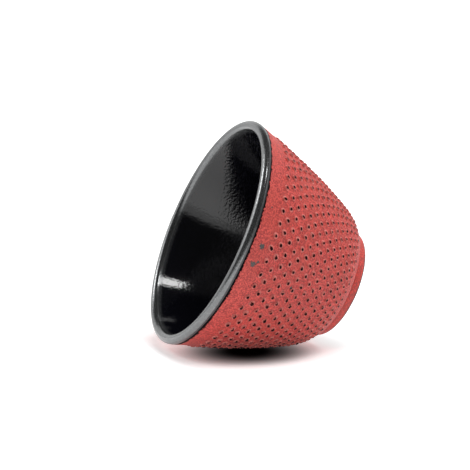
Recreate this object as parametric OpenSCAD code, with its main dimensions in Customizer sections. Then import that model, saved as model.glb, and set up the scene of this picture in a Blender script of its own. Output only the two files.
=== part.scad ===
// Cast iron tea cup: a small handleless cup with a rounded lip, rows of cast
// hobnails and a foot ring, enamelled black inside and painted red outside.
// The origin is at the middle of the foot's underside and +Z is the cup's axis.

/* [Cup] */
// Diameter over the lip
mouth_d = 78; // [72:1:86]
// Height from the table to the top of the lip
cup_h = 51; // [49:0.5:56]
// Thickness of the wall and of the rounded lip, coatings included
wall_t = 3.3; // [2.8:0.1:3.8]
// Lean of the straight upper wall, in degrees from upright
wall_lean = 16.8; // [14:0.2:18]
// Length of the straight upper wall, measured down its slope
straight_l = 13.4; // [10:0.2:15]
// Radius of the long curve of the belly
belly_r = 205; // [180:5:240]
// Lean of the wall where the belly ends and the heel begins, in degrees
heel_lean = 24; // [22:0.5:26]
// Radius of the curve of the heel, above the foot
heel_r = 30; // [26:1:34]
// Radius of the inside corner between the wall and the floor
well_r = 9; // [7:0.5:11]

/* [Foot] */
// Outer diameter of the foot ring, paint included
foot_d = 36.8; // [32:0.2:38]
// Height of the foot ring
foot_h = 3.8; // [3:0.1:4.2]
// Width of the foot ring, across its underside
foot_w = 3; // [2:0.1:4]
// Depth of the hollow inside the foot ring
foot_hollow = 2; // [1:0.1:2.4]
// Bevel along the foot's bottom edges
foot_bevel = 0.4; // [0.2:0.1:0.6]

/* [Hobnails] */
// Number of hobnails in each row round the cup
nails_round = 55; // [40:1:60]
// Number of rows from the lip to the foot
nail_rows = 15; // [6:1:15]
// Distance down the slope from the lip's shoulder to the first row
first_row = 7.9; // [6:0.1:8]
// Distance down the slope between the first two rows
row_pitch = 2.96; // [2.6:0.02:3]
// How much closer each row is than the one before it
row_shrink = 0.043; // [0.03:0.001:0.05]
// Diameter of a hobnail at its base, in the first row
nail_d = 1.9; // [1.4:0.1:2.2]
// Diameter of a hobnail at its tip, in the first row
nail_tip_d = 0.9; // [0.6:0.1:1.2]
// Height of a hobnail above the paint, in the first row
nail_h = 0.55; // [0.3:0.05:0.8]
// Size of a hobnail in the last row, as a share of the first row's
last_nail = 0.8; // [0.6:0.05:1]

/* [Coatings] */
// Thickness of the black enamel and of the red paint
skin_t = 0.25; // [0.2:0.05:0.4]
// Distance down the slope from the lip's shoulder to the edge of the paint
paint_gap = 0.4; // [0.2:0.1:1]
// Height of the bare iron at the bottom of the foot ring
bare_foot = 0.5; // [0.4:0.1:1]

/* [Hidden] */
$fn = 96;

nail_sides = 16;
nail_seat = 0.02;
lip_steps = 14;
arc_steps = 10;

// The lip is a half round whose middle is at lip_c, given as [radius, height]
lip_r = wall_t / 2;
lip_c = [mouth_d / 2 - lip_r, cup_h - lip_r];

// Straight part, belly and heel follow each other without a corner.
// A direction is the lean of the wall, which is also how far its outward
// normal dips below the horizontal.
function out(lean) = [cos(lean), -sin(lean)];
function down(lean) = [-sin(lean), -cos(lean)];

shoulder = lip_c + lip_r * out(wall_lean);
belly_top = shoulder + straight_l * down(wall_lean);
belly_c = belly_top - belly_r * out(wall_lean);
heel_top = belly_c + belly_r * out(heel_lean);
heel_c = heel_top - heel_r * out(heel_lean);
foot_lean = asin((heel_c[1] - foot_h) / heel_r);

belly_l = belly_r * (heel_lean - wall_lean) * PI / 180;

// Lean of the wall at the distance s down the slope from the shoulder
function lean_at(s) =
    s < straight_l ? wall_lean
    : s < straight_l + belly_l ? wall_lean + (s - straight_l) / belly_r * 180 / PI
    : heel_lean + (s - straight_l - belly_l) / heel_r * 180 / PI;

// Point [radius, height] of the outer surface at the distance s
function wall_at(s) =
    s < straight_l ? shoulder + s * down(wall_lean)
    : s < straight_l + belly_l ? belly_c + belly_r * out(lean_at(s))
    : heel_c + heel_r * out(lean_at(s));

// Outer surface set back by depth, from the distance s down to the foot's top
function outer_wall(depth, s) = concat(
    [wall_at(s) - depth * out(wall_lean)],
    [for (i = [0:arc_steps])
        belly_c + (belly_r - depth) * out(wall_lean + (heel_lean - wall_lean) * i / arc_steps)],
    [for (i = [1:arc_steps])
        let (lean = asin((heel_c[1] - foot_h - depth) / (heel_r - depth)))
        heel_c + (heel_r - depth) * out(heel_lean + (lean - heel_lean) * i / arc_steps)]
);

// Round of the lip set back by depth, from the inside over the top to the shoulder
function lip_round(depth) = [
    for (i = [0:lip_steps])
        lip_c + (lip_r - depth) * out(wall_lean - 180 + 180 * i / lip_steps)
];

// The corner of the well touches the inner wall at well_lean and ends level
well_lean = 40;
well_c = heel_c + (heel_r - wall_t - well_r) * out(well_lean);
floor_z = well_c[1] - well_r;

// Inner surface set back into the wall by depth, from the middle of the floor
// up to the lip
function inner_wall(depth) = concat(
    [[0, floor_z - depth]],
    [for (i = [0:arc_steps])
        well_c + (well_r + depth) * out(90 - (90 - well_lean) * i / arc_steps)],
    [for (i = [1:arc_steps])
        heel_c + (heel_r - wall_t + depth)
            * out(well_lean - (well_lean - heel_lean) * i / arc_steps)],
    [for (i = [1:arc_steps])
        belly_c + (belly_r - wall_t + depth)
            * out(heel_lean - (heel_lean - wall_lean) * i / arc_steps)]
);

function reversed(points) = [for (i = [len(points) - 1:-1:0]) points[i]];

ring_out = foot_d / 2 - skin_t;
ring_in = foot_d / 2 - foot_w;

// Iron wall, lip and floor, with the plug that fills the top of the foot ring
module iron_body() {
    color("dimgray")
        rotate_extrude()
            polygon(concat(
                inner_wall(skin_t),
                lip_round(skin_t),
                outer_wall(skin_t, paint_gap),
                [[ring_in, foot_h + skin_t], [ring_in, foot_hollow], [0, foot_hollow]]
            ));
}

// Iron ring that the cup stands on
module foot_ring() {
    color("dimgray")
        rotate_extrude()
            polygon([
                [ring_in, foot_bevel],
                [ring_in + foot_bevel, 0],
                [ring_out - foot_bevel, 0],
                [ring_out, foot_bevel],
                [ring_out, foot_h + skin_t],
                [ring_in, foot_h + skin_t]
            ]);
}

// One hobnail on the outer surface at the distance s, sunk by nail_seat so
// that its flat base meets the round wall
module hobnail(s, size) {
    place = wall_at(s);
    translate([place[0], 0, place[1]])
        rotate([0, 90 + lean_at(s), 0])
            translate([0, 0, -nail_seat])
                cylinder(
                    h = nail_h * size + nail_seat,
                    d1 = nail_d * size,
                    d2 = nail_tip_d * size,
                    $fn = nail_sides
                );
}

// Staggered rows of hobnails, closer together towards the foot
module hobnails() {
    pitch = 360 / nails_round;
    color("brown")
        for (row = [0:nail_rows - 1]) {
            s = first_row + row * row_pitch - row * (row - 1) / 2 * row_shrink;
            size = 1 - (1 - last_nail) * row / (nail_rows - 1);
            for (i = [0:nails_round - 1])
                rotate([0, 0, (i + (row % 2) / 2) * pitch])
                    hobnail(s, size);
        }
}

// Black enamel on the floor, up the inside and over the lip to the paint
module enamel_lining() {
    color("black")
        rotate_extrude()
            polygon(concat(
                inner_wall(0),
                lip_round(0),
                [wall_at(paint_gap)],
                [wall_at(paint_gap) - skin_t * out(wall_lean)],
                reversed(lip_round(skin_t)),
                reversed(inner_wall(skin_t))
            ));
}

// Red paint on the outer wall and on the ledge above the foot ring
module red_coat() {
    color("firebrick")
        rotate_extrude()
            polygon(concat(
                outer_wall(0, paint_gap),
                [[foot_d / 2, foot_h], [foot_d / 2, foot_h + skin_t]],
                reversed(outer_wall(skin_t, paint_gap))
            ));
}

// Red paint round the outside of the foot ring
module foot_coat() {
    color("firebrick")
        rotate_extrude()
            polygon([
                [ring_out, bare_foot],
                [foot_d / 2, bare_foot],
                [foot_d / 2, foot_h + skin_t],
                [ring_out, foot_h + skin_t]
            ]);
}

iron_body();
foot_ring();
hobnails();
enamel_lining();
red_coat();
foot_coat();
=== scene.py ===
import math

import bpy
import numpy as np
from mathutils import Matrix, Vector


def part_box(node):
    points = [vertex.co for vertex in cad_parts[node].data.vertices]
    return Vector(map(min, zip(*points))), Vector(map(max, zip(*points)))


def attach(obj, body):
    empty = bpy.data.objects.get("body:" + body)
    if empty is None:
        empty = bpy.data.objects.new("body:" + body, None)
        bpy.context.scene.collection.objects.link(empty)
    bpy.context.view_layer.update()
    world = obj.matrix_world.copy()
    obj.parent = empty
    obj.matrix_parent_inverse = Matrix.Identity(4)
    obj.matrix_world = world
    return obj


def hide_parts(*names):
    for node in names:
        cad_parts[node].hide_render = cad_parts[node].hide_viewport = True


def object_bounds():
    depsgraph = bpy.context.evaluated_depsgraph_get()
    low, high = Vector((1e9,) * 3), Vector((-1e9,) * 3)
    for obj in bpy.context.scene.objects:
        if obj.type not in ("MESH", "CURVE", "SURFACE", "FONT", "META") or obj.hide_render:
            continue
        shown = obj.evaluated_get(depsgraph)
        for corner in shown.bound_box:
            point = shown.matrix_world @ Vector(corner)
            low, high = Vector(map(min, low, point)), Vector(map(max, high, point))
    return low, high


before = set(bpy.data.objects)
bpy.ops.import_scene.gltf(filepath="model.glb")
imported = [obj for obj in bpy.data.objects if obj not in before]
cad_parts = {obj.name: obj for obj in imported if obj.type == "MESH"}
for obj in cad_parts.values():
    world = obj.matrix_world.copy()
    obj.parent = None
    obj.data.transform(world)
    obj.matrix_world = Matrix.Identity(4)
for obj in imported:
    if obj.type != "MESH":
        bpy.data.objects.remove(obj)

mm = 0.001
cadLow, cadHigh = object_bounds()
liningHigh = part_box("enamel_lining")[1]
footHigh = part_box("foot_coat")[1]
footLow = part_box("foot_coat")[0]
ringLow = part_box("foot_ring")[0]
print("frame loaded:", ", ".join(sorted(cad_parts)))


# sockets and nodes

class Wire:
    # a socket that can stand in a sum
    def __init__(self, bench, socket):
        self.bench = bench
        self.socket = socket

    def math(self, operation, one, two):
        return self.bench.node("ShaderNodeMath", {"operation": operation}, {0: one, 1: two})

    def __add__(self, other):
        return self.math("ADD", self, other)

    def __radd__(self, other):
        return self.math("ADD", other, self)

    def __sub__(self, other):
        return self.math("SUBTRACT", self, other)

    def __rsub__(self, other):
        return self.math("SUBTRACT", other, self)

    def __mul__(self, other):
        return self.math("MULTIPLY", self, other)

    def __rmul__(self, other):
        return self.math("MULTIPLY", other, self)


class NodeBench:
    # makes the nodes of one material or of the world
    def __init__(self, tree):
        self.tree = tree
        tree.nodes.clear()

    def node(self, kind, settings=None, sockets=None, out=0):
        made = self.tree.nodes.new(kind)
        for name, value in (settings or {}).items():
            setattr(made, name, value)
        for name, value in (sockets or {}).items():
            if isinstance(value, Wire):
                self.tree.links.new(value.socket, made.inputs[name])
            else:
                made.inputs[name].default_value = value
        return Wire(self, made.outputs[out]) if made.outputs else None

    def between(self, value, low, high):
        # 0 below low, 1 above high, smooth in between; low may be the larger
        return self.node("ShaderNodeMapRange", {"interpolation_type": "SMOOTHSTEP"},
                         {"Value": value, "From Min": low, "From Max": high}, "Result")

    def larger(self, one, two):
        return self.node("ShaderNodeMath", {"operation": "MAXIMUM"}, {0: one, 1: two})

    def noise(self, width, detail=2.0, roughness=0.5, where=None):
        # width is the size of one blotch
        place = where or self.node("ShaderNodeTexCoord", out="Object")
        return self.node("ShaderNodeTexNoise", None, {"Vector": place, "Scale": 1 / width,
                                                      "Detail": detail, "Roughness": roughness})

    def painted(self, mask, under, over):
        return self.node("ShaderNodeMix", {"data_type": "RGBA"}, {"Factor": mask, 6: under, 7: over}, 2)

    def layer(self, name):
        return self.node("ShaderNodeAttribute", {"attribute_name": name}, None, "Fac")

    def bump(self, height, depth, below=None):
        sockets = {"Height": height, "Distance": depth, "Strength": 1.0}
        if below:
            sockets["Normal"] = below
        return self.node("ShaderNodeBump", None, sockets)


def newFinish(name):
    material = bpy.data.materials.new(name)
    material.use_nodes = True
    return material, NodeBench(material.node_tree)


def closeFinish(bench, **sockets):
    shader = bench.node("ShaderNodeBsdfPrincipled", None,
                        {name.replace("_", " "): value for name, value in sockets.items()})
    bench.node("ShaderNodeOutputMaterial", None, {"Surface": shader})


# the cup's outline, as radius and height

cupShape = {
    "wallThickness": 3.3 * mm,
    "wallLean": math.radians(16.8),     # from upright, of the straight upper wall
    "straightLength": 13.4 * mm,
    "bellyRadius": 205 * mm,
    "heelLean": math.radians(24),       # where the belly turns into the heel
    "heelRadius": 30 * mm,
    "wellLean": math.radians(40),       # where the wall turns into the corner of the well
    "wellRadius": 9 * mm,
    "skin": 0.25 * mm,                  # enamel or paint
    "footWidth": 3 * mm,
}


def outward(lean):
    return np.array([np.cos(lean), -np.sin(lean)])


def downhill(lean):
    return np.array([-np.sin(lean), -np.cos(lean)])


wallLean = cupShape["wallLean"]
heelLean = cupShape["heelLean"]
wellLean = cupShape["wellLean"]
thickness = cupShape["wallThickness"]
bellyRadius = cupShape["bellyRadius"]
heelRadius = cupShape["heelRadius"]
footTop = footHigh.z - cupShape["skin"]
lipRadius = thickness / 2
lipCentre = np.array([liningHigh.x - lipRadius, liningHigh.z - lipRadius])
shoulder = lipCentre + lipRadius * outward(wallLean)
bellyTop = shoulder + cupShape["straightLength"] * downhill(wallLean)
bellyCentre = bellyTop - bellyRadius * outward(wallLean)
heelCentre = bellyCentre + (bellyRadius - heelRadius) * outward(heelLean)
footLean = math.asin((heelCentre[1] - footTop) / heelRadius)
bellyEnd = cupShape["straightLength"] + bellyRadius * (heelLean - wallLean)
wallEnd = bellyEnd + heelRadius * (footLean - heelLean)
wellCentre = heelCentre + (heelRadius - thickness - cupShape["wellRadius"]) * outward(wellLean)


def arc(centre, radius, first, last, steps):
    return [tuple(centre + radius * outward(lean)) for lean in np.linspace(first, last, steps + 1)]


def wallAt(slope, depth=0.0):
    # radius, height and lean of the outer wall at a distance down its slope
    slope = np.asarray(slope, float)
    onBelly = np.clip(slope, cupShape["straightLength"], bellyEnd) - cupShape["straightLength"]
    onHeel = np.clip(slope, bellyEnd, None) - bellyEnd
    lean = wallLean + onBelly / bellyRadius + onHeel / heelRadius
    straight = shoulder[:, None] + downhill(wallLean)[:, None] * slope.ravel()
    belly = bellyCentre[:, None] + bellyRadius * outward(lean.ravel())
    heel = heelCentre[:, None] + heelRadius * outward(lean.ravel())
    place = np.where(slope.ravel() < cupShape["straightLength"], straight,
                     np.where(slope.ravel() < bellyEnd, belly, heel))
    place = place - depth * outward(lean.ravel())
    return place[0].reshape(slope.shape), place[1].reshape(slope.shape), lean


def innerWall(depth):
    # from the middle of the floor up to the lip, set back into the wall by depth
    well = arc(wellCentre, cupShape["wellRadius"] + depth, math.pi / 2, wellLean, 14)
    heel = arc(heelCentre, heelRadius - thickness + depth, wellLean, heelLean, 10)
    belly = arc(bellyCentre, bellyRadius - thickness + depth, heelLean, wallLean, 10)
    floor = [(well[0][0] * share, well[0][1]) for share in (0, 0.3, 0.6, 0.85)]
    top = np.array(belly[-1])
    lipStart = lipCentre + (lipRadius - depth) * outward(wallLean - math.pi)
    straight = [tuple(top + (lipStart - top) * share) for share in (0.3, 0.6, 0.85, 0.94, 0.98)]
    return floor + well + heel[1:] + belly[1:] + straight


def meshPiece(name, points, faces, material, layers=None):
    mesh = bpy.data.meshes.new(name)
    mesh.from_pydata(points, [], faces)
    for title, values in (layers or {}).items():
        mesh.attributes.new(title, "FLOAT", "POINT").data.foreach_set("value", values)
    mesh.polygons.foreach_set("use_smooth", [True] * len(mesh.polygons))
    mesh.materials.append(material)
    mesh.update()
    piece = bpy.data.objects.new(name, mesh)
    bpy.context.scene.collection.objects.link(piece)
    return piece


def turned(name, section, around, material, layers=None):
    # a closed section turned about the axis; it runs clockwise with the radius to the right
    points = []
    rings = []
    values = {title: [] for title in layers or {}}
    for radius, height in section:
        turns = 1 if radius < 1e-6 else around
        rings.append([len(points) + turn % turns for turn in range(around)])
        angles = [2 * math.pi * turn / around for turn in range(turns)]
        points += [(radius * math.cos(angle), radius * math.sin(angle), height) for angle in angles]
        for title in values:
            values[title] += [layers[title](radius, height)] * turns
    faces = []
    for lower, upper in zip(rings, rings[1:] + rings[:1]):
        for turn in range(around):
            ahead = (turn + 1) % around
            corners = list(dict.fromkeys([lower[turn], lower[ahead], upper[ahead], upper[turn]]))
            if len(corners) > 2:
                faces.append(corners)
    return meshPiece(name, points, faces, material, values)


# how the cup lies: the floor is turned round the upright cup, and the camera with it

pose = {
    "restTurn": math.radians(130.1),    # side of the cup that touches the floor
    "restLean": math.radians(23.4),     # lean of the wall where it touches
    "viewTurn": math.radians(71.07),    # from the cup's axis to the camera, round the floor's normal
    "viewRise": math.radians(6.65),     # camera above the floor
    "lens": 113.5,
    "distance": 492.6 * mm,
    "aside": -12.1 * mm,                # camera beside and above the cup's middle
    "above": 7.44 * mm,
}

intoFloor = Vector((math.cos(pose["restLean"]) * math.cos(pose["restTurn"]),
                    math.cos(pose["restLean"]) * math.sin(pose["restTurn"]),
                    -math.sin(pose["restLean"])))
up = -intoFloor
axis = Vector((0, 0, 1))
alongFloor = (axis - up * axis.dot(up)).normalized()
towardCamera = Matrix.Rotation(pose["viewTurn"], 3, up) @ alongFloor
back = towardCamera * math.cos(pose["viewRise"]) + up * math.sin(pose["viewRise"])
right = up.cross(back).normalized()
camUp = back.cross(right)
cupMiddle = Vector((0, 0, cadHigh.z / 2))

camera = bpy.data.objects.new("camera", bpy.data.cameras.new("camera"))
bpy.context.scene.collection.objects.link(camera)
camera.data.lens = pose["lens"]
camera.data.sensor_width = 36
camera.data.clip_start = 0.01
camera.location = cupMiddle + right * pose["aside"] + camUp * pose["above"] + back * pose["distance"]
camera.rotation_mode = "QUATERNION"
camera.rotation_quaternion = Matrix((right, camUp, back)).transposed().to_quaternion()
bpy.context.scene.camera = camera
bpy.context.scene.view_settings.view_transform = "Standard"
print("camera placed")


# floor and light

light = {
    "paper": (1.0, 1.0, 0.985),         # the white that the camera sees
    "paperLevel": 1.8,
    "roomLevel": 0.03,                  # the dark room
    "sweepLevel": 0.85,                 # white paper standing behind the cup
    "sweepRise": 0.7,                   # how high it reaches, as a share of straight up
    "sweepFade": 0.25,                  # and over how much of that it fades out
    "sweepReach": 0.45,                 # how far it comes round towards the camera
    "underLevel": 0.9,                  # light from below the floor
    "underFade": 0.1,
    "floorGlow": 0.28,                  # the floor is a light table
    "seenGlow": 0.38,                   # how bright it looks to the camera
    "floorColour": (0.9, 0.9, 0.9),
    "floorSide": 0.6,
    "floorBack": 0.42,
    "floorFront": 0.19,                 # how far it reaches towards the camera
    "paintedShadowColour": (0.003, 0.002, 0.002),  # painted contact shadow: the floor's colour and glow go dark where the cup touches it
    "touchWidth": 20 * mm,
    "touchDepth": 22 * mm,
    "touchAside": -8 * mm,
    "touchForward": 10 * mm,
    "touchFade": (1.6, 0.05),           # its edge and its full part, as squared shares of its reach
    "touchUnseen": 0.35,                # how strong the painted shadow is for all but the camera
}
# softboxes: degrees to the right of the camera, degrees above the floor, distance, side, brightness,
# and whether the enamel mirrors it
softboxes = {
    "overheadBox": (53, 69, 0.9, 0.13, 12.0, True),
    "leftBox": (-104, 43, 0.9, 0.17, 10.0, True),
    "ceilingBox": (80, 72, 0.9, 0.9, 3.4, False),
    "leftFill": (-100, 40, 0.9, 0.6, 1.5, True),
}

world = bpy.data.worlds.new("studio")
bpy.context.scene.world = world
world.use_nodes = True
sky = NodeBench(world.node_tree)
ray = sky.node("ShaderNodeTexCoord", out="Generated")


def along(direction):
    return sky.node("ShaderNodeVectorMath", {"operation": "DOT_PRODUCT"},
                    {0: ray, 1: tuple(direction)}, "Value")


sweep = sky.between(along(towardCamera), light["sweepReach"], 0.0)
sweep = sweep * sky.between(along(up), light["sweepRise"], light["sweepRise"] - light["sweepFade"])
under = sky.between(along(up), 0.0, -light["underFade"])
glow = light["roomLevel"] + sky.larger(sweep * light["sweepLevel"], under * light["underLevel"])
seen = sky.node("ShaderNodeLightPath", out="Is Camera Ray")
roomShine = sky.node("ShaderNodeBackground", None, {"Color": (1, 1, 1, 1), "Strength": glow})
paperShine = sky.node("ShaderNodeBackground", None,
                      {"Color": (*light["paper"], 1), "Strength": light["paperLevel"]})
studio = sky.node("ShaderNodeMixShader", None, {0: seen, 1: roomShine, 2: paperShine})
sky.node("ShaderNodeOutputWorld", None, {"Surface": studio})


def softbox(name, turn, lift, distance, side, level, mirrored):
    turn, lift = math.radians(turn), math.radians(lift)
    flat = towardCamera * math.cos(turn) + right * math.sin(turn)
    direction = flat * math.cos(lift) + up * math.sin(lift)
    lamp = bpy.data.lights.new(name, "AREA")
    lamp.size = side
    lamp.energy = level * math.pi * side * side
    box = bpy.data.objects.new(name, lamp)
    bpy.context.scene.collection.objects.link(box)
    box.location = cupMiddle + direction * distance
    box.rotation_mode = "QUATERNION"
    box.rotation_quaternion = direction.to_track_quat("Z", "Y")
    box.visible_camera = False
    box.visible_glossy = mirrored


for name, values in softboxes.items():
    softbox(name, *values)


def farthestPoint():
    # the wall's point nearest the floor, as radius, height and reach towards it
    radius, height, lean = wallAt(np.linspace(0, wallEnd, 400))
    reach = radius * math.cos(pose["restLean"]) - height * math.sin(pose["restLean"])
    best = int(np.argmax(reach))
    return float(radius[best]), float(height[best]), float(reach[best])


touchRadius, touchHeight, touchReach = farthestPoint()
touch = Vector((touchRadius * math.cos(pose["restTurn"]),
                touchRadius * math.sin(pose["restTurn"]),
                touchHeight))
# middle of the painted contact shadow, a little aside of and in front of where the cup touches
paintedShadowMiddle = touch + right * light["touchAside"] + towardCamera * light["touchForward"]

# the floor shows from above only, so that it hides nothing in views from under it
floorFinish, bench = newFinish("whitePaper")
place = bench.node("ShaderNodeNewGeometry", out="Position")


def fromTouch(direction, reach):
    # distance from the middle of the painted shadow patch, along one direction, as a share of its reach
    reading = bench.node("ShaderNodeVectorMath", {"operation": "DOT_PRODUCT"},
                         {0: place, 1: tuple(direction)}, "Value")
    return (reading - paintedShadowMiddle.dot(direction)) * (1 / reach)


across = fromTouch(right, light["touchWidth"])
deep = fromTouch(towardCamera, light["touchDepth"])
floorSeen = bench.node("ShaderNodeLightPath", out="Is Camera Ray")
unseen = light["touchUnseen"]
# mask of the painted contact shadow: full strength for the camera, weaker for other rays
dark = bench.between(across * across + deep * deep, *light["touchFade"]) * (unseen + floorSeen * (1 - unseen))
# the painted shadow darkens the floor's colour and puts out its glow
floorColour = bench.painted(dark, (*light["floorColour"], 1), (*light["paintedShadowColour"], 1))
floorLit = light["floorGlow"] + floorSeen * (light["seenGlow"] - light["floorGlow"])
floorGlow = bench.painted(dark, floorLit, (0, 0, 0, 1))
paper = bench.node("ShaderNodeBsdfPrincipled", None,
                   {"Base Color": floorColour, "Roughness": 1.0, "Specular IOR Level": 0.0,
                    "Emission Color": floorGlow, "Emission Strength": 1.0})
nothing = bench.node("ShaderNodeBsdfTransparent")
fromUnder = bench.node("ShaderNodeNewGeometry", out="Backfacing")
sheet = bench.node("ShaderNodeMixShader", None, {0: fromUnder, 1: paper, 2: nothing})
bench.node("ShaderNodeOutputMaterial", None, {"Surface": sheet})

nailLift = 0.45 * mm            # the hobnails hold the wall off the floor
floorMiddle = intoFloor * (touchReach + nailLift)
side, behind, front = light["floorSide"], -light["floorBack"], light["floorFront"]
corners = [floorMiddle + right * x + towardCamera * y
           for x, y in ((-side, behind), (side, behind), (side, front), (-side, front))]
floor = meshPiece("floor", [tuple(c) for c in corners], [(3, 2, 1, 0)], floorFinish)
print("floor and light placed")


# black enamel inside and over the lip

enamelShape = {
    "around": 256,
    "behind": 0.2 * mm,
    "outerEnd": 1.0 * mm,       # down the outside, under the edge of the paint
    "underPaint": 0.03 * mm,
    "peelWidth": 0.85 * mm,     # orange peel in the glaze
    "peelDepth": 0.034 * mm,
    "lipDepth": 0.03 * mm,
    "lipBelow": 0.4 * mm,       # the lip's grey starts this far below its middle
    "lipFade": 0.5 * mm,
    "black": (0.003, 0.003, 0.005, 1),
    # the lip's grey and metal are partly its own finish, partly painted reflection of the bright floor and
    # paper
    "lipGrey": (0.20, 0.205, 0.208, 1),
    # lighter grey specks on the lip: painted glints
    "glintGrey": (0.30, 0.305, 0.305, 1),
    "glintShare": 0.6,
    "roughness": 0.07,
    "smudgeRoughness": 0.04,    # added to the roughness
    "lipRoughness": 0.13,
    "lipMetal": 0.88,
}


def enamelSection():
    inside = innerWall(0)
    lip = arc(lipCentre, lipRadius, wallLean - math.pi, wallLean, 32)
    radius, height, lean = wallAt(np.array([0.5, 1.0]) * enamelShape["outerEnd"], enamelShape["underPaint"])
    outside = list(zip(radius, height))
    radius, height, lean = wallAt(np.array([1.0, 0.0]) * enamelShape["outerEnd"], enamelShape["behind"])
    hidden = list(zip(radius, height))
    hidden += arc(lipCentre, lipRadius - enamelShape["behind"], wallLean, wallLean - math.pi, 32)[1:]
    hidden += innerWall(enamelShape["behind"])[::-1]
    return inside + lip + outside + hidden


enamelFinish, bench = newFinish("blackEnamel")
onLip = bench.layer("onLip")
smudge = bench.between(bench.noise(14 * mm, 3.0), 0.35, 0.75)
# painted glints: lighter grey specks over the lip
glints = bench.between(bench.noise(0.7 * mm, 2.0, 0.7), 0.52, 0.66) * onLip
peel = bench.bump(bench.noise(enamelShape["peelWidth"], 1.5), enamelShape["peelDepth"])
grit = bench.bump(bench.noise(0.5 * mm, 2.0) * onLip, enamelShape["lipDepth"], peel)
# the lip's grey: partly its own finish, partly painted reflection
black = bench.painted(onLip, enamelShape["black"], enamelShape["lipGrey"])
closeFinish(bench,
            Base_Color=bench.painted(glints * enamelShape["glintShare"], black, enamelShape["glintGrey"]),
            Roughness=(enamelShape["roughness"] + smudge * enamelShape["smudgeRoughness"]
                       + onLip * enamelShape["lipRoughness"]),
            Metallic=onLip * enamelShape["lipMetal"],
            IOR=1.6,
            Normal=grit)
section = enamelSection()
lipLow = lipCentre[1] - enamelShape["lipBelow"]


def lipShare(radius, height):
    return float(np.clip((height - lipLow) / enamelShape["lipFade"], 0, 1))


lining = turned("enamelLining", section[::-1], enamelShape["around"], enamelFinish, {"onLip": lipShare})
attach(lining, "root")
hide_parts("enamel_lining")
print("enamel made")


# red paint on the wall, with its rows of hobnails

paintShape = {
    "nailsRound": 55,
    "nailRows": 15,
    "firstRow": 7.9 * mm,
    "rowPitch": 2.96 * mm,
    "rowShrink": 0.043 * mm,
    "nailWidth": 1.9 * mm,
    "nailHeight": 0.55 * mm,
    "lastNail": 0.8,            # size in the last row, as a share of the first row's
    "tipShadeShift": 0.27,          # how far the dark tip sits off the hobnail's middle, a painted shade on one side of each hobnail
    "tipShadeTurn": math.radians(155),
    # how wide and how high a hobnail is on the way up to its tip
    "nailRings": [(1.3, 0.0), (1.06, 0.05), (0.9, 0.3), (0.74, 0.7), (0.58, 0.95), (0.3, 0.97)],
    "edgeStart": 0.15 * mm,     # down the slope from the shoulder
    "behind": 0.18 * mm,
    "unevenness": 0.045 * mm,
    "edgeDrift": 0.7 * mm,
    "edgeDriftTurn": math.radians(130),
    # bare spots: turn in degrees, distance down the slope, reach
    "chips": [(-138.1, 4.55 * mm, 0.85 * mm),
              (-147.0, 3.92 * mm, 0.9 * mm),
              (-145.3, 5.36 * mm, 0.35 * mm),
              (-118.8, 3.48 * mm, 0.3 * mm),
              (-152.4, 21.7 * mm, 0.5 * mm),
              (20, 4.2 * mm, 0.6 * mm),
              (75, 5.0 * mm, 0.4 * mm)],
    "darkRed": (0.30, 0.025, 0.024, 1),
    "brightRed": (0.78, 0.098, 0.080, 1),
    "blotchRed": (0.30, 0.028, 0.028, 1),
    "patchRed": (0.52, 0.065, 0.045, 1),
    "sheenRed": (0.88, 0.30, 0.26, 1),        # painted sheen round each hobnail
    "tipRed": (0.035, 0.009, 0.008, 1),      # hobnail tips, from the least to the most worn
    "tipBlack": (0.008, 0.003, 0.003, 1),
    "chipGrey": (0.11, 0.10, 0.098, 1),
    "edgeBlack": (0.004, 0.004, 0.005, 1),   # above the edge of the paint
    "blotchShare": 0.5,
    "patchShare": 0.35,
    "sheenShare": 0.65,
    "roughness": 0.42,
}
edgeSteps = 4                   # points along each edge of a hobnail's cell
rng = np.random.default_rng(7)


def rowPlace(row):
    pitch = paintShape["rowPitch"]
    return paintShape["firstRow"] + row * pitch - row * (row - 1) / 2 * paintShape["rowShrink"]


def uneven(slope, angle):
    # the slow waves of a hand-finished casting
    waves = 0
    for turns, rise, phase in ((3, 90, 0.4), (5, -160, 1.9), (8, 240, 3.1), (13, 420, 5.2), (21, -700, 0.9)):
        waves = waves + np.sin(turns * angle + rise * slope + phase)
    return waves / 5 * paintShape["unevenness"]


def edgeDrift(angle):
    # the paint stops lower down on one side
    return paintShape["edgeDrift"] * (1 + np.cos(angle - paintShape["edgeDriftTurn"])) / 2


class PaintedWall:
    # collects points and faces; every point knows how far it is from its hobnail's middle
    def __init__(self):
        self.points = []
        self.layers = {"nailDist": [], "nailWear": [], "downSlope": []}
        self.faces = []
        self.count = 0

    def add(self, radius, height, angle, nailDist=2.0, nailWear=0.5, downSlope=1.0):
        shape = np.broadcast(radius, angle).shape
        x, y, z = np.broadcast_arrays(radius * np.cos(angle), radius * np.sin(angle), height)
        self.points.append(np.stack([x.ravel(), y.ravel(), z.ravel()], 1))
        for name, value in (("nailDist", nailDist), ("nailWear", nailWear), ("downSlope", downSlope)):
            self.layers[name].append(np.broadcast_to(value, shape).ravel())
        first = self.count
        self.count += int(np.prod(shape))
        return np.arange(first, self.count).reshape(shape)

    def onWall(self, slope, angle, lift=0.0, nailDist=2.0, nailWear=0.5):
        slope, angle = np.broadcast_arrays(np.asarray(slope, float), angle)
        radius, height, lean = wallAt(slope)
        lift = lift + uneven(slope, angle)
        return self.add(radius + lift * np.cos(lean), height - lift * np.sin(lean), angle,
                        nailDist, nailWear, (slope - edgeDrift(angle)) / mm)

    def band(self, upper, lower):
        self.faces += np.stack([upper, lower, np.roll(lower, -1), np.roll(upper, -1)], 1).tolist()


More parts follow.
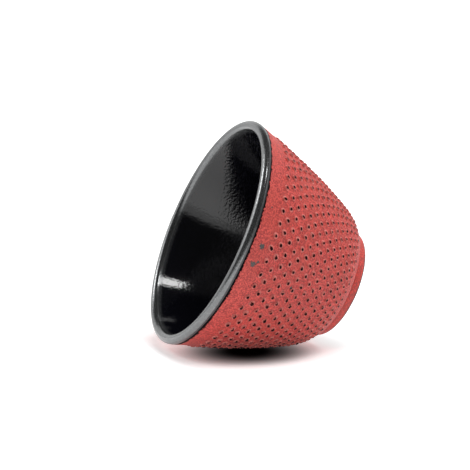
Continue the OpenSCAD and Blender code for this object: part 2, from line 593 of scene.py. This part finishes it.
wall = PaintedWall()
nailsRound = paintShape["nailsRound"]
nailRows = paintShape["nailRows"]
ringPoints = nailsRound * edgeSteps
pitchAngle = 2 * math.pi / nailsRound
ringAngles = np.arange(ringPoints) * pitchAngle / edgeSteps
rowPlaces = [rowPlace(row) for row in range(nailRows)]
borders = [1.5 * rowPlaces[0] - 0.5 * rowPlaces[1]]
borders += [(one + two) / 2 for one, two in zip(rowPlaces, rowPlaces[1:])]
borders += [1.5 * rowPlaces[-1] - 0.5 * rowPlaces[-2]]
borderRings = [wall.onWall(border, ringAngles) for border in borders]


def nailRow(row):
    # one row of cells, each with a hobnail in it
    start = edgeSteps // 2 * (row % 2)
    middles = (start + edgeSteps * np.arange(nailsRound)) % ringPoints
    share = row / (nailRows - 1)
    size = 1 - (1 - paintShape["lastNail"]) * share
    wide = paintShape["nailWidth"] / 2 * size * rng.normal(1, 0.035, nailsRound)
    high = paintShape["nailHeight"] * size * rng.normal(1, 0.07, nailsRound)
    wear = rng.random(nailsRound)
    shift = paintShape["tipShadeShift"] * rng.uniform(0.6, 1.3, nailsRound)
    shiftTurn = paintShape["tipShadeTurn"] + rng.normal(0, 0.5, nailsRound)
    place = rowPlaces[row] + rng.normal(0, 0.05 * mm, nailsRound)
    angles = ringAngles[middles] + rng.normal(0, 0.05 * mm, nailsRound) / wallAt(rowPlaces[row])[0]
    upper, lower = borderRings[row], borderRings[row + 1]
    half = edgeSteps // 2
    sideAngles = ringAngles[(middles + half) % ringPoints]
    sides = [wall.onWall(borders[row] + (borders[row + 1] - borders[row]) * step / edgeSteps, sideAngles)
             for step in range(1, edgeSteps)]
    lefts = [np.roll(side, 1) for side in sides]

    def onBorder(ring, steps):
        return [ring[(middles + step) % ringPoints] for step in steps]

    outline = [sides[1], sides[0]]
    outline += onBorder(upper, range(half, -half - 1, -1))
    outline += lefts
    outline += onBorder(lower, range(-half, half + 1))
    outline += [sides[2]]
    around = len(outline)
    turn = 2 * math.pi * np.arange(around)[:, None] / around
    radius = wallAt(place)[0]
    previous = np.stack(outline)
    for spread, lift in paintShape["nailRings"]:
        reach = wide * spread
        # the dark tip is stretched towards one side of each hobnail, a painted shade on that side
        tipAndShadeDist = spread * (1 + shift * np.cos(turn - shiftTurn))
        ring = wall.onWall(place - reach * np.sin(turn), angles + reach * np.cos(turn) / radius,
                           high * lift, tipAndShadeDist, wear[None, :] + 0 * turn)
        for one in range(around):
            two = (one + 1) % around
            wall.faces += np.stack([previous[one], previous[two], ring[two], ring[one]], 1).tolist()
        previous = ring
    tip = wall.onWall(place, angles, high * 1.01, 0.0, wear)
    for one in range(around):
        wall.faces += np.stack([previous[one], previous[(one + 1) % around], tip], 1).tolist()


for row in range(nailRows):
    nailRow(row)

# smooth band above the hobnails, with its rounded upper edge
edgeStart = paintShape["edgeStart"]
bandPlaces = np.concatenate([[edgeStart, edgeStart + 0.06 * mm, edgeStart + 0.2 * mm],
                             np.linspace(edgeStart + 0.5 * mm, borders[0], 9)[:-1]])
bandLifts = np.concatenate([[-0.04 * mm, 0, 0.01 * mm], np.zeros(8)])
topRings = [wall.onWall(place, ringAngles, lift) for place, lift in zip(bandPlaces, bandLifts)]
for upper, lower in zip(topRings, topRings[1:] + [borderRings[0]]):
    wall.band(upper, lower)

# below them to the ledge, then in to the foot
lowPlaces = np.linspace(borders[-1], wallEnd - 0.35 * mm, 4)[1:]
lowRings = [wall.onWall(place, ringAngles) for place in lowPlaces]
wallRadius = float(wallAt(wallEnd)[0])
ledge = [(wallRadius - 0.02 * mm, footTop + 0.12 * mm), (wallRadius - 0.2 * mm, footTop + 0.02 * mm),
         (footHigh.x + 0.35 * mm, footTop), (footHigh.x + 0.1 * mm, footTop - 0.08 * mm),
         (footHigh.x - 0.1 * mm, footTop - 0.1 * mm)]
lowRings += [wall.add(radius, height, ringAngles, downSlope=wallEnd / mm) for radius, height in ledge]
hiddenPlaces = np.linspace(wallEnd, edgeStart, 12)
hidden = [(footHigh.x - 0.1 * mm, footTop + 0.15 * mm)]
hidden += list(zip(*wallAt(hiddenPlaces, paintShape["behind"])[:2]))
lowRings += [wall.add(radius, height, ringAngles) for radius, height in hidden]
for upper, lower in zip([borderRings[-1]] + lowRings, lowRings + [topRings[0]]):
    wall.band(upper, lower)
print("painted wall:", wall.count, "points,", len(wall.faces), "faces")

paintFinish, bench = newFinish("redPaint")
nailDist = bench.layer("nailDist")
nailWear = bench.layer("nailWear")
downSlope = bench.layer("downSlope")
where = bench.node("ShaderNodeTexCoord", out="Object")
grain = bench.noise(0.55 * mm, 3.0, 0.65, where)
blotch = bench.noise(1.6 * mm, 3.0, 0.6, where)
patches = bench.between(bench.noise(9 * mm, 2.0, 0.5, where), 0.35, 0.7)
red = bench.painted(bench.between(grain, 0.36, 0.64), paintShape["darkRed"], paintShape["brightRed"])
blotched = bench.between(blotch, 0.55, 0.75) * paintShape["blotchShare"]
red = bench.painted(blotched, red, paintShape["blotchRed"])
red = bench.painted(patches * paintShape["patchShare"], red, paintShape["patchRed"])
# painted sheen: a pale ring round each hobnail in place of light on its flanks
paintedSheen = bench.between(nailDist + grain * 0.3, 1.3, 1.05)
# dark tips: paint worn off the hobnails' tops, shifted to one side as painted shade
wornTipAndShade = bench.between(nailDist + grain * 0.9 - nailWear * 0.12, 1.05, 0.9)
colour = bench.painted(paintedSheen * paintShape["sheenShare"], red, paintShape["sheenRed"])
tip = bench.painted(nailWear, paintShape["tipRed"], paintShape["tipBlack"])
colour = bench.painted(wornTipAndShade, colour, tip)
bare = bench.between(downSlope + grain * 2.0 + blotch * 1.6, 2.45, 2.3)
chipped = 0
for turn, slope, reach in paintShape["chips"]:
    radius, height, lean = wallAt(slope)
    angle = math.radians(turn)
    middle = (radius * math.cos(angle), radius * math.sin(angle), float(height))
    away = bench.node("ShaderNodeVectorMath", {"operation": "DISTANCE"}, {0: where, 1: middle}, "Value")
    spot = bench.between(away * (1 / reach) + blotch * 1.6 + grain * 2.4, 3.2, 2.95)
    chipped = bench.larger(chipped, spot) if chipped else spot
colour = bench.painted(chipped, colour, paintShape["chipGrey"])
colour = bench.painted(bare, colour, paintShape["edgeBlack"])
fine = bench.bump(grain, 0.1 * mm)
coarse = bench.bump(blotch, 0.06 * mm, fine)
domes = bench.bump(bench.between(nailDist, 1.2, 0.5), 0.4 * mm, coarse)
closeFinish(bench,
            Base_Color=colour,
            Roughness=paintShape["roughness"] + grain * 0.12 + bare * 0.2,
            Metallic=bench.larger(wornTipAndShade, bench.larger(chipped, bare)),
            IOR=1.42,
            Normal=bench.bump(chipped, -0.12 * mm, domes))
paintedWall = meshPiece("paintedWall", np.concatenate(wall.points).tolist(), wall.faces, paintFinish,
                        {name: np.concatenate(values) for name, values in wall.layers.items()})
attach(paintedWall, "root")
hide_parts("red_coat", "hobnails")
print("painted wall made")


# the foot

footShape = {
    "around": 192,
    "bareHeight": footLow.z,    # the paint stops this far above the underside
    "bevel": 0.4 * mm,
    "bevelTurns": (0.4, 0.8, 1.2),
    "iron": (0.05, 0.046, 0.045, 1),
    "rust": (0.09, 0.045, 0.03, 1),
    "metal": 0.35,
}
ironFinish, bench = newFinish("bareIron")
sand = bench.noise(0.5 * mm, 4.0, 0.6)
rust = bench.between(bench.noise(5 * mm, 4.0, 0.65), 0.5, 0.75)
closeFinish(bench,
            Base_Color=bench.painted(rust, footShape["iron"], footShape["rust"]),
            Roughness=0.5 + sand * 0.2,
            Metallic=footShape["metal"],
            Normal=bench.bump(sand, 0.08 * mm))

footRadius = footHigh.x
ringRadius = footRadius - cupShape["skin"]
innerRadius = footRadius - cupShape["footWidth"]
footSection = [
    (ringRadius - 0.1 * mm, footShape["bareHeight"] + 0.05 * mm),
    (footRadius - 0.08 * mm, footShape["bareHeight"]),
    (footRadius - 0.02 * mm, footShape["bareHeight"] + 0.04 * mm),
    (footRadius, footShape["bareHeight"] + 0.15 * mm),
    (footRadius, footTop * 0.5),
    (footRadius, footTop),
    (ringRadius - 0.1 * mm, footTop),
]
footPaint = turned("footPaint", footSection, footShape["around"], paintFinish,
                   # a nailDist of 1.1 gives the foot part of the hobnails' painted sheen
                   {"nailDist": lambda radius, height: 1.1,
                    "nailWear": lambda radius, height: 0.5,
                    "downSlope": lambda radius, height: (height - footShape["bareHeight"]) / mm * 2.0 + 0.7})
bevel = footShape["bevel"]
ironSection = [
    (innerRadius, bevel),
    *[(innerRadius + bevel - bevel * math.cos(turn), bevel - bevel * math.sin(turn))
      for turn in footShape["bevelTurns"]],
    (innerRadius + bevel, ringLow.z),
    (ringRadius - bevel, ringLow.z),
    *[(ringRadius - bevel + bevel * math.sin(turn), bevel - bevel * math.cos(turn))
      for turn in footShape["bevelTurns"]],
    (ringRadius, bevel),
    (ringRadius, footTop),
    (innerRadius, footTop),
]
footIron = turned("footIron", ironSection, footShape["around"], ironFinish)
for piece, node, slot in ((footPaint, "foot_coat", "red_paint"), (footIron, "foot_ring", "bare_iron")):
    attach(piece, "root")
    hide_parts(node)
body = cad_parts["iron_body"]
body.data.materials.clear()
body.data.materials.append(ironFinish)
print("foot made")
